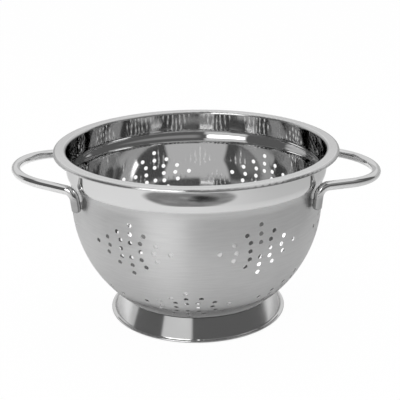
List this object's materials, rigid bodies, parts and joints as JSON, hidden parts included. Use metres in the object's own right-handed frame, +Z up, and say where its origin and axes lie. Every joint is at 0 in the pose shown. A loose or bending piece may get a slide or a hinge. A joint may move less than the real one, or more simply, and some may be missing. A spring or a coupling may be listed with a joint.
{
  "type": "colander",
  "caption": "Round stainless steel colander with star-shaped groups of drain holes, a flat rim, a spun foot ring and welded rod loop handles, for draining food.",
  "frame": {"origin": "on the table, under the middle of the bowl: the centre of the foot ring's underside", "axes": "+Z up through the bowl's mouth; X runs through the two handles; -Y is the front that the picture shows"},
  "size_m": [0.3397, 0.2606, 0.1605],
  "materials": {
    "bowl": "stainless sheet, satin brushed round the lower outside and the rim, mirror polished inside and on the straight band",
    "foot_ring": "mirror polished stainless sheet",
    "handle": "bright polished stainless rod",
    "weld": "bare resistance weld, slightly dull"
  },
  "bodies": {
    "root": {"bowl": "bowl", "foot_ring": "foot_ring", "foot_ring_welds": "weld", "handle_left": "handle", "handle_left_welds": "weld", "handle_right": "handle", "handle_right_welds": "weld"}
  },
  "joints": []
}
